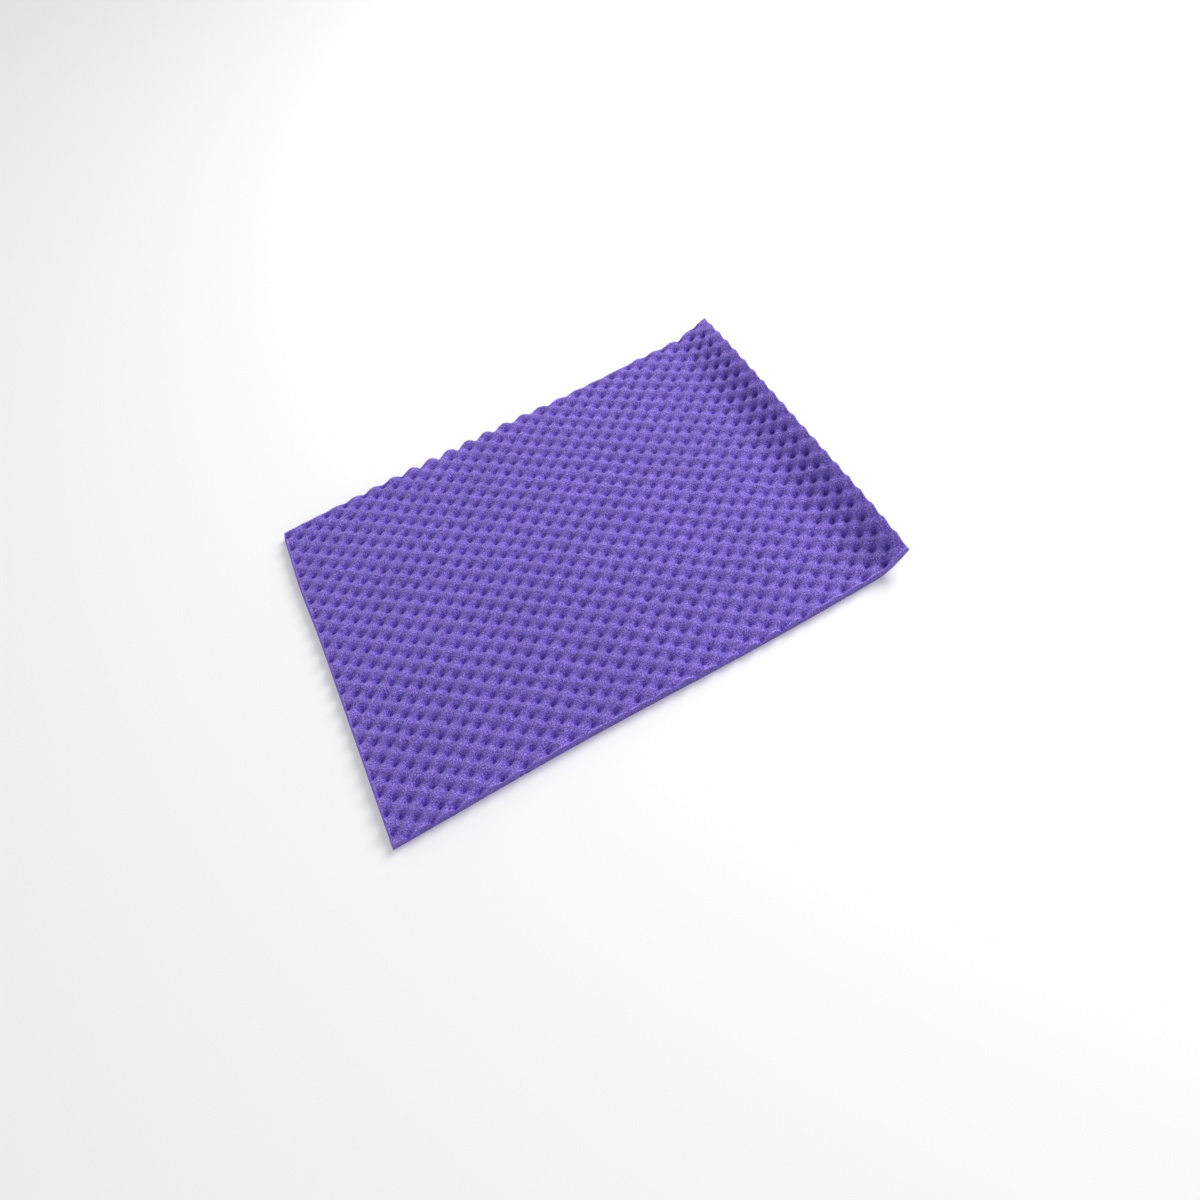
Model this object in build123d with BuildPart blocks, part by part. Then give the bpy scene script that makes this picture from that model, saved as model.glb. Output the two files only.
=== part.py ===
from build123d import *
import math
import os

os.makedirs("parts", exist_ok=True)

# Foam sheet, laid dimples up with its right-hand end curling off the floor. The solid is
# the sheet's outer form: its upper side runs along the tops of the crests.
sheet_length = 560          # along the crests, end to end
sheet_width = 400           # across the underside
crest_thickness = 13        # underside to the top of the crests
side_lean = 3               # how far the long cut sides lean in by the time they reach the top
end_lean = 6                # the same for the left-hand cut end

# Curl: a gentle arc, then a tighter one out to the end, measured along the crests.
gentle_radius = 150
gentle_length = 44
tight_radius = 75
tight_length = 28

# Angles the two arcs turn through, and how far each stretch of the underside reaches.
gentle_turn = gentle_length / gentle_radius
tight_turn = tight_length / tight_radius
full_turn = gentle_turn + tight_turn
gentle_underside = gentle_radius + crest_thickness
tight_underside = tight_radius + crest_thickness
flat_length = sheet_length - gentle_length - tight_length
gentle_reach = gentle_underside * math.sin(gentle_turn)
tight_reach = tight_underside * (math.sin(full_turn) - math.sin(gentle_turn))

# The origin sits on the floor under the middle of the sheet's outer box.
left_x = -(flat_length + gentle_reach + tight_reach) / 2
curl_x = left_x + flat_length
gentle_centre = (curl_x, gentle_underside)
tight_centre = (
    curl_x + (gentle_radius - tight_radius) * math.sin(gentle_turn),
    gentle_underside - (gentle_radius - tight_radius) * math.cos(gentle_turn),
)

with BuildPart() as foam_sheet:
    # Underside line: the flat, then the two arcs of the curl.
    with BuildLine(Plane.XZ) as underside:
        Line((left_x, 0), (curl_x, 0))
        CenterArc(gentle_centre, gentle_underside, -90, math.degrees(gentle_turn))
        CenterArc(tight_centre, tight_underside, -90 + math.degrees(gentle_turn),
                  math.degrees(tight_turn))
    # Cross-section: flat underneath, long sides leaning in towards the top.
    left_end = Plane(origin=(left_x, 0, 0), x_dir=(0, 1, 0), z_dir=(1, 0, 0))
    with BuildSketch(left_end):
        with BuildLine():
            Polyline(
                (-sheet_width / 2, 0),
                (sheet_width / 2, 0),
                (sheet_width / 2 - side_lean, crest_thickness),
                (-sheet_width / 2 + side_lean, crest_thickness),
                close=True,
            )
        make_face()
    sweep(path=underside.wires()[0])

    # Left-hand end: the knife leans in towards the top.
    with BuildSketch(Plane.XZ):
        with BuildLine():
            Polyline(
                (left_x - 5, 0),
                (left_x, 0),
                (left_x + end_lean * 15 / crest_thickness, 15),
                (left_x - 5, 15),
                close=True,
            )
        make_face()
    extrude(amount=sheet_width / 2 + 5, both=True, mode=Mode.SUBTRACT)

foam_sheet.part.label = "foam_sheet"
export_step(foam_sheet.part, "parts/foam_sheet.step")
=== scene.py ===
import math
import bpy
import numpy as np
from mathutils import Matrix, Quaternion, Vector


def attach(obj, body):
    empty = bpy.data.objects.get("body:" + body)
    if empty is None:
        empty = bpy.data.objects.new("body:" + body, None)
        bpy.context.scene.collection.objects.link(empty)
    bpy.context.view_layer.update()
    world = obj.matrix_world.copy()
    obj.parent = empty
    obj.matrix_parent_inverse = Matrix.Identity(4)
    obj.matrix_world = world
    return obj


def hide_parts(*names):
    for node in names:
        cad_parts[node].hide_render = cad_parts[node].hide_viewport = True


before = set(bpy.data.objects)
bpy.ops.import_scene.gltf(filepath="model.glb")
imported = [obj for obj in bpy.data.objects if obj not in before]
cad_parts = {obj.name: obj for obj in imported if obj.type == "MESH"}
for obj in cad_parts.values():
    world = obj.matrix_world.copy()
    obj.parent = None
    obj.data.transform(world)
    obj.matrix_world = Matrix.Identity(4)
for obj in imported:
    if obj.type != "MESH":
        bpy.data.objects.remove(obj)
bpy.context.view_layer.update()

# ---------------------------------------------------------------------------
# Foam sheet. One slab of soft open-cell polyurethane foam. It is squeezed between two
# profiled rollers and split by a band knife, which leaves the dimples and crests on top
# and a flat back, and then it is cut to size with a long knife on all four sides.
# ---------------------------------------------------------------------------
sheet_length = 0.560        # along the crests
sheet_width = 0.400         # across the underside
crest_thickness = 0.013
far_rim = 0.1982            # where the far side's top edge stands, from the middle
near_rim = 0.2008           # and the near side's, which stands almost upright

# Curl of the right-hand end, as it runs in the middle of the sheet, along its near edge
# and along its far edge: how far it turns, the length it takes, and how the turn builds up.
middle_curl = (0.84, 0.056, 0.62)
near_curl = (0.98, 0.038, 0.36)
far_curl = (0.52, 0.050, 0.60)
left_x = -0.28205
curl_steps = np.linspace(0, 1, 401)


def curl_line(past, full_turn, length, ease):
    """Reach, rise and turn of the crest line at a distance past the start of the curl.

    With v = past / length, the turn is full_turn * v ^ ease, less up to half of it over
    the last two fifths, where the lip sags back. Reach and rise are the sums of its cosine and
    sine along the line, which is straight before and after the curl.
    """
    v = np.clip(past / length, 0, 1)
    sag = 1 - 0.5 * np.clip((curl_steps - 0.62) / 0.38, 0, 1) ** 2
    turns = full_turn * curl_steps**ease * sag
    reach = np.cumsum(np.cos(turns)) / len(turns)
    rise = np.cumsum(np.sin(turns)) / len(turns)
    over = np.maximum(past - length, 0)
    curled_reach = length * np.interp(v, curl_steps, reach)
    return (
        np.minimum(past, 0) + over * math.cos(turns[-1]) + curled_reach,
        over * math.sin(turns[-1]) + length * np.interp(v, curl_steps, rise),
        np.interp(v, curl_steps, turns),
    )


# The foam's lean from the knife: none at the upright height, less towards the curl.
upright_height = 0.004
lean_along, lean_fade, lean_across = 0.0062, 0.0028, 0.0018
# One slow sideways wave in the way that the sheet lies.
wander, wander_start, wander_length = 0.0013, 0.186, 0.430


def lay_on_floor(along, across, height):
    """Bends the flat sheet onto the floor and up the curl.

    The foam leans: with s = (height - upright_height) / thickness, a point moves along by
    (lean_along - lean_fade * along / length) * s and across by lean_across * s. It is then
    set off square to the crest line, by height - thickness. The line is a mix of the
    middle's curl and the nearer edge's, more of the edge's with the fourth power of the
    distance from the middle. The whole sheet wanders sideways in one slow wave.
    """
    leaned = (height - upright_height) / crest_thickness
    along = along + (lean_along - lean_fade * along / sheet_length) * leaned
    across = across + lean_across * leaned
    near_share = np.clip(-across / (sheet_width / 2), 0, 1) ** 4
    far_share = np.clip(across / (sheet_width / 2), 0, 1) ** 4
    laid = 0
    for curl, share in (
        (middle_curl, 1 - near_share - far_share),
        (near_curl, near_share),
        (far_curl, far_share),
    ):
        start = sheet_length - curl[1]
        reach, rise, turn = curl_line(along - start, *curl)
        x = left_x + start + reach + (crest_thickness - height) * np.sin(turn)
        z = rise + crest_thickness - (crest_thickness - height) * np.cos(turn)
        laid = laid + share[..., None] * np.stack([x, 0 * x, z], axis=-1)
    laid[..., 1] = across + wander * np.cos(2 * math.pi * (along - wander_start) / wander_length)
    return laid


# Dimple pattern: the pitch of one grid each way, how far it drifts across from column to
# column, and where its middle dimple stands, from the middle of the sheet.
pitch_long = 0.0239
pitch_short = 0.0202
row_drift = 0.00068
first_dimple = (-0.0018, 0.0084)
odd_column_at = 7.5         # columns from the first dimple
odd_column_shift = 0.12     # of a pitch across
last_dimples_at = 11.15     # the dimples end here, and the wave at the last column
last_column_at = 11.5
wave_drop = 0.0042          # how deep the low wave, a dimple and its trail each go
dimple_drop = 0.0030
trail_drop = 0.0022
deepest_drop = 0.0086
mouth_radius = 0.0023
trail_place = (0.0030, 0.0006)
trail_radius = (0.0042, 0.0027)
chance = np.random.default_rng(71)
dimple_luck = chance.normal(0, 1, (4, 96, 96))


def soft_noise(shape, size_in_cells, seed):
    """Smooth random field: white noise whose Fourier amplitudes are multiplied by a
    Gaussian that fades out waves shorter than size_in_cells, scaled back to unit spread."""
    noise = np.fft.rfft2(np.random.default_rng(seed).normal(0, 1, shape))
    fy = np.fft.fftfreq(shape[0])[:, None]
    fx = np.fft.rfftfreq(shape[1])[None, :]
    noise *= np.exp(-2 * (math.pi * size_in_cells / 2.5) ** 2 * (fx**2 + fy**2))
    field = np.fft.irfft2(noise, shape)
    return (field - field.mean()) / field.std()


def dimpled_height(along, across):
    """Height of the dimpled side, and how deep in a dimple each point is, from 0 to 1.

    The crests are a low wave, cosine along times cosine across, so they stand midway
    between dimples. Each dimple is a narrow bell, exp(-(r / mouth) ^ 2), round the nearest
    place of the two interleaved grids, and a shallower oval bell trailing to one side of
    it, which fades towards the curl. Each has a little luck in place, size and depth.
    """
    centre = along - sheet_length / 2
    # One column stands out of line, where the rollers were set up wrongly.
    a = (centre - first_dimple[0]) / pitch_long
    b = (across - first_dimple[1] - row_drift * a) / pitch_short
    odd_column = np.abs(a - odd_column_at) < 0.25
    b = np.where(odd_column, b - odd_column_shift, b)
    # Past the last whole column the crests run straight out to the cut end.
    lip = np.clip((a - last_dimples_at) / 0.2, 0, 1)
    wave_a = np.minimum(a, last_column_at)
    wave = 0.5 + 0.5 * np.cos(2 * math.pi * wave_a) * np.cos(2 * math.pi * b)
    wave *= 1 - 0.15 * lip
    diagonal_1 = np.rint(a + b).astype(int)
    diagonal_2 = np.rint(a - b).astype(int)
    luck = dimple_luck[:, diagonal_1 % 96, diagonal_2 % 96]
    away_long = (a - (diagonal_1 + diagonal_2) / 2) * pitch_long - 0.00045 * luck[0]
    away_short = (b - (diagonal_1 - diagonal_2) / 2) * pitch_short - 0.0003 - 0.00055 * luck[1]
    # The curl stretches its dimples open, which deepens them.
    opened = np.clip((along - sheet_length + 0.058) / 0.022, 0, 1)
    mouth = mouth_radius * (1 + 0.06 * luck[2]) * (1 + 0.55 * opened)
    core = np.exp(-((np.hypot(away_long, away_short) / mouth) ** 2.0))
    trail_long = (away_long - trail_place[0]) / trail_radius[0]
    trail_short = (away_short - trail_place[1]) / trail_radius[1]
    trail = np.exp(-(trail_long**2) - trail_short**2) * (1 - 0.6 * along / sheet_length)
    bells = dimple_drop * (1 + 0.08 * luck[3]) * core + trail_drop * trail
    drop = wave_drop * wave + bells * (1 + 0.2 * opened) * (1 - lip)
    return crest_thickness - drop, drop / deepest_drop


long_steps = 348            # multiples of underside_step
short_steps = 252
underside_step = 4
side_rows = 5


def sheet_faces(rows, columns, first=0):
    """Quads of a grid of rows by columns vertices, numbered row by row from first."""
    corner = first + np.arange(rows - 1)[:, None] * columns + np.arange(columns - 1)[None, :]
    corner = corner.ravel()
    return np.stack([corner, corner + columns, corner + columns + 1, corner + 1], axis=1)


def round_the_rim(rows, columns):
    """Indices of a grid's rim: along the front, up the right, back and down the left."""
    grid = np.arange(rows * columns).reshape(rows, columns)
    return np.concatenate([grid[:-1, 0], grid[-1, :-1], grid[:0:-1, -1], grid[0, :0:-1]])


left_inset, left_bulge, left_bulge_at, left_bulge_width = 0.0010, 0.0020, 0.81, 0.125
right_inset = 0.0022
far_rim_flare = 0.0018
corner_reach = 0.008
squashed_reach = 0.030
squashed_height = 0.0092
rim_squeeze = 0.0004

rows, columns = long_steps + 1, short_steps + 1
share_along = np.linspace(0, 1, rows)[:, None] + np.zeros((1, columns))
share_across = np.linspace(0, 1, columns)[None, :] + np.zeros((rows, 1))
# The left-hand cut wanders outwards near the far side.
from_bulge = (share_across[0] - left_bulge_at) / left_bulge_width
left_cut = left_inset - left_bulge * np.exp(-(from_bulge**2))
right_cut = sheet_length - right_inset
far_top = far_rim + far_rim_flare * share_along
top_across = far_top * share_across - near_rim * (1 - share_across)
# The knife squeezed the foam, so the thick crests spring back farther than the dimples.
end_height = dimpled_height(right_cut + 0 * top_across[0], top_across[0])[0]
spring = 0.0009 * (end_height / 0.0105 - 1) / 0.4
top_along = left_cut + share_along * (right_cut + spring - left_cut)
top_height, top_depth = dimpled_height(top_along, top_across)
small_lumps = 0.00012 * soft_noise((rows, columns), 4, 5)
broad_lumps = 0.0002 * soft_noise((rows, columns), 30, 6)
lumps = small_lumps + broad_lumps
top_height = np.minimum(top_height + lumps, crest_thickness + 0.0004)
# Corners are worn down, except that the far left one has kept its edge.
corner_long = np.minimum(share_along, 1 - share_along) * sheet_length
corner_short = np.minimum(share_across, 1 - share_across) * sheet_width
far_left = (share_along < 0.5) & (share_across > 0.5)
wear = np.where(far_left, 0.0008, 0.0035)
top_height -= wear * np.exp(-((corner_long + corner_short) / corner_reach) ** 2)
# The far right corner is squashed to one height.
far_corner = (1 - share_along) * sheet_length + (1 - share_across) * sheet_width
squashed = np.exp(-((far_corner / squashed_reach) ** 2))
top_height = top_height * (1 - squashed) + squashed_height * squashed

# Cut sides: straight runs from the rim of the dimpled side down to the flat back, drawn in
# a little at mid height where the foam was squeezed under the knife.
rim = round_the_rim(rows, columns)
rim_top = np.stack([top_along.ravel()[rim], top_across.ravel()[rim], top_height.ravel()[rim]])
rim_foot = np.stack([
    top_along.ravel()[rim],
    (share_across.ravel()[rim] - 0.5) * sheet_width,
    np.zeros(len(rim)),
])
fall = (np.arange(1, side_rows + 1) / (side_rows + 1))[:, None]
side = [rim_top[k] * (1 - fall) + rim_foot[k] * fall for k in range(3)]
squeeze = rim_squeeze * np.sin(math.pi * fall)
side[1] = side[1] * (1 - squeeze / (sheet_width / 2))

back_rows, back_columns = long_steps // underside_step + 1, short_steps // underside_step + 1
back_along = top_along[::underside_step, ::underside_step]
back_across = (share_across[::underside_step, ::underside_step] - 0.5) * sheet_width

places = np.concatenate([
    lay_on_floor(top_along, top_across, top_height).reshape(-1, 3),
    lay_on_floor(*side).reshape(-1, 3),
    lay_on_floor(back_along, back_across, 0 * back_along).reshape(-1, 3),
])
around = len(rim)
side_first = rows * columns
back_first = side_first + side_rows * around
ring = np.arange(around)
ring_next = (ring + 1) % around
faces = [sheet_faces(rows, columns)]
upper = rim
for row in range(side_rows):
    lower = side_first + row * around + ring
    faces.append(np.stack([upper, upper[ring_next], lower[ring_next], lower], axis=1)[:, ::-1])
    upper = lower
back_rim = back_first + round_the_rim(back_rows, back_columns)
feet = np.arange(around // underside_step)
last_row = [upper[(feet * underside_step + k) % around] for k in range(underside_step + 1)]
foot_faces = np.stack([*last_row, np.roll(back_rim, -1), back_rim], axis=1)[:, ::-1]
faces.append(sheet_faces(back_rows, back_columns, back_first)[:, ::-1])
polygons = [polygon for group in faces for polygon in group.tolist()] + foot_faces.tolist()

foam_mesh = bpy.data.meshes.new("foam_sheet_dimpled")
foam_mesh.from_pydata(places.tolist(), [], polygons)
foam_mesh.update()
foam_mesh.validate()
foam_mesh.shade_smooth()
foam_mesh.set_sharp_from_angle(angle=math.radians(62))

# The amount of painted shade: how deep in a dimple each point lies, from 0 to 1.
painted_shade_layer = foam_mesh.attributes.new("painted_shade_amount", "FLOAT", "POINT")
painted_shade_values = np.zeros(len(places))
painted_shade_values[:side_first] = top_depth.ravel()
# The cut sides get part of the painted shade, darker than the crests.
painted_shade_values[side_first:back_first] = 0.42
painted_shade_layer.data.foreach_set("value", painted_shade_values)
# Mask of the rim, for the painted highlight along the top edge of the cut sides.
rim_highlight_layer = foam_mesh.attributes.new("rim_highlight_mask", "FLOAT", "POINT")
rim_highlight_values = np.zeros(len(places))
rim_highlight_values[rim] = 1.0
rim_highlight_layer.data.foreach_set("value", rim_highlight_values)

foam_pad = bpy.data.objects.new("foam_pad", foam_mesh)
bpy.context.scene.collection.objects.link(foam_pad)

foam_purple = bpy.data.materials.new("purple_open_cell_foam")
foam_purple.use_nodes = True
nodes = foam_purple.node_tree.nodes
links = foam_purple.node_tree.links
skin = nodes["Principled BSDF"]
skin.inputs["Roughness"].default_value = 0.95
skin.inputs["Specular IOR Level"].default_value = 0.15
skin.inputs["Sheen Weight"].default_value = 0.15
skin.inputs["Sheen Roughness"].default_value = 0.6
skin.inputs["Subsurface Weight"].default_value = 0.25
skin.inputs["Subsurface Radius"].default_value = (0.0012, 0.0010, 0.0024)
skin.inputs["Subsurface Scale"].default_value = 1.0

spot = nodes.new("ShaderNodeTexCoord")
cells = nodes.new("ShaderNodeTexVoronoi")
cells.inputs["Scale"].default_value = 850
grain = nodes.new("ShaderNodeTexNoise")
grain.inputs["Scale"].default_value = 700
grain.inputs["Detail"].default_value = 3
grain.inputs["Roughness"].default_value = 0.7
blotch = nodes.new("ShaderNodeTexNoise")
blotch.inputs["Scale"].default_value = 14
for pattern in (cells, grain, blotch):
    links.new(spot.outputs["Object"], pattern.inputs["Vector"])

# Colour: painted shade makes the dimples darker and more saturated than the crests, the more so
# the deeper a point lies; cell mouths are darker than struts.
depth = nodes.new("ShaderNodeAttribute")
depth.attribute_name = "painted_shade_amount"
painted_shade_ramp = nodes.new("ShaderNodeValToRGB")
painted_shade_ramp.color_ramp.elements[0].position = 0.0
painted_shade_ramp.color_ramp.elements[0].color = (0.182, 0.120, 0.462, 1)
painted_shade_ramp.color_ramp.elements[1].position = 0.9
painted_shade_ramp.color_ramp.elements[1].color = (0.074, 0.031, 0.345, 1)
links.new(depth.outputs["Fac"], painted_shade_ramp.inputs["Fac"])


def tone_range(pattern, outlet, from_low, from_high, to_low, to_high):
    """Spreads a pattern's value from one range of numbers to another."""
    spread = nodes.new("ShaderNodeMapRange")
    spread.inputs["From Min"].default_value = from_low
    spread.inputs["From Max"].default_value = from_high
    spread.inputs["To Min"].default_value = to_low
    spread.inputs["To Max"].default_value = to_high
    links.new(pattern.outputs[outlet], spread.inputs["Value"])
    return spread.outputs["Result"]


cell_tone = tone_range(cells, "Distance", 0.05, 0.75, 0.40, 1.50)
grain_tone = tone_range(grain, "Fac", 0.3, 0.7, 0.08, 1.98)
blotch_tone = tone_range(blotch, "Fac", 0.3, 0.7, 0.95, 1.05)
speckle = nodes.new("ShaderNodeMath")
speckle.operation = "MULTIPLY"
links.new(cell_tone, speckle.inputs[0])
links.new(grain_tone, speckle.inputs[1])
mottle = nodes.new("ShaderNodeMath")
mottle.operation = "MULTIPLY"
links.new(speckle.outputs["Value"], mottle.inputs[0])
links.new(blotch_tone, mottle.inputs[1])
dye = nodes.new("ShaderNodeVectorMath")
dye.operation = "SCALE"
links.new(painted_shade_ramp.outputs["Color"], dye.inputs[0])
links.new(mottle.outputs["Value"], dye.inputs["Scale"])
# A painted highlight: a light line along the top edge of the cut sides, where the edge catches
# the lamp.
edge = nodes.new("ShaderNodeAttribute")
edge.attribute_name = "rim_highlight_mask"
rim_highlight_tone = tone_range(edge, "Fac", 0.0, 1.0, 1.0, 1.75)
painted_rim_highlight = nodes.new("ShaderNodeVectorMath")
painted_rim_highlight.operation = "SCALE"
links.new(dye.outputs["Vector"], painted_rim_highlight.inputs[0])
links.new(rim_highlight_tone, painted_rim_highlight.inputs["Scale"])
links.new(painted_rim_highlight.outputs["Vector"], skin.inputs["Base Color"])

cell_bump = nodes.new("ShaderNodeBump")
cell_bump.inputs["Strength"].default_value = 0.6
cell_bump.inputs["Distance"].default_value = 0.0004
links.new(cells.outputs["Distance"], cell_bump.inputs["Height"])
grain_bump = nodes.new("ShaderNodeBump")
grain_bump.inputs["Strength"].default_value = 0.7
grain_bump.inputs["Distance"].default_value = 0.0008
links.new(grain.outputs["Fac"], grain_bump.inputs["Height"])
links.new(cell_bump.outputs["Normal"], grain_bump.inputs["Normal"])
links.new(grain_bump.outputs["Normal"], skin.inputs["Normal"])
foam_mesh.materials.append(foam_purple)

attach(foam_pad, "root")
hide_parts("foam_sheet")

# ---------------------------------------------------------------------------
# Studio. A plain pale floor, a broad lamp high behind to the right and an even glow
# from all round.
# ---------------------------------------------------------------------------
floor_mesh = bpy.data.meshes.new("studio_floor")
floor_mesh.from_pydata([(-6, -6, 0), (6, -6, 0), (6, 6, 0), (-6, 6, 0)], [], [(0, 1, 2, 3)])
floor = bpy.data.objects.new("studio_floor", floor_mesh)
bpy.context.scene.collection.objects.link(floor)
pale = bpy.data.materials.new("pale_studio_floor")
pale.use_nodes = True
pale_skin = pale.node_tree.nodes["Principled BSDF"]
pale_skin.inputs["Base Color"].default_value = (0.93, 0.93, 0.94, 1)
pale_skin.inputs["Roughness"].default_value = 0.9
floor_mesh.materials.append(pale)


def hang_lamp(name, place, aim, size, watts):
    """A square lamp at place, facing aim."""
    lamp = bpy.data.objects.new(name, bpy.data.lights.new(name, "AREA"))
    lamp.data.shape = "SQUARE"
    lamp.data.size = size
    lamp.data.energy = watts
    lamp.location = place
    lamp.rotation_mode = "QUATERNION"
    lamp.rotation_quaternion = (Vector(aim) - Vector(place)).to_track_quat("-Z", "Y")
    bpy.context.scene.collection.objects.link(lamp)
    return lamp


hang_lamp("broad_lamp", (1.66, 0.52, 1.38), (0, 0, 0), 1.0, 38)

world = bpy.data.worlds.new("even_glow")
world.use_nodes = True
world.node_tree.nodes["Background"].inputs["Color"].default_value = (1, 1, 1, 1)
world.node_tree.nodes["Background"].inputs["Strength"].default_value = 0.67
bpy.context.scene.world = world
bpy.context.scene.view_settings.view_transform = "Standard"

camera = bpy.data.objects.new("camera", bpy.data.cameras.new("camera"))
bpy.context.scene.collection.objects.link(camera)
camera.data.lens = 25.5
camera.data.sensor_width = 36
camera.data.shift_x = -0.0405
camera.data.shift_y = -0.0239
camera.location = (-0.0783, -0.5260, 0.7429)
aim = Vector((0.0513, -0.0674, 0.0))
lean = Quaternion((0, 0, 1), math.radians(-14.5))
camera.rotation_mode = "QUATERNION"
camera.rotation_quaternion = (aim - camera.location).to_track_quat("-Z", "Y") @ lean
bpy.context.scene.camera = camera
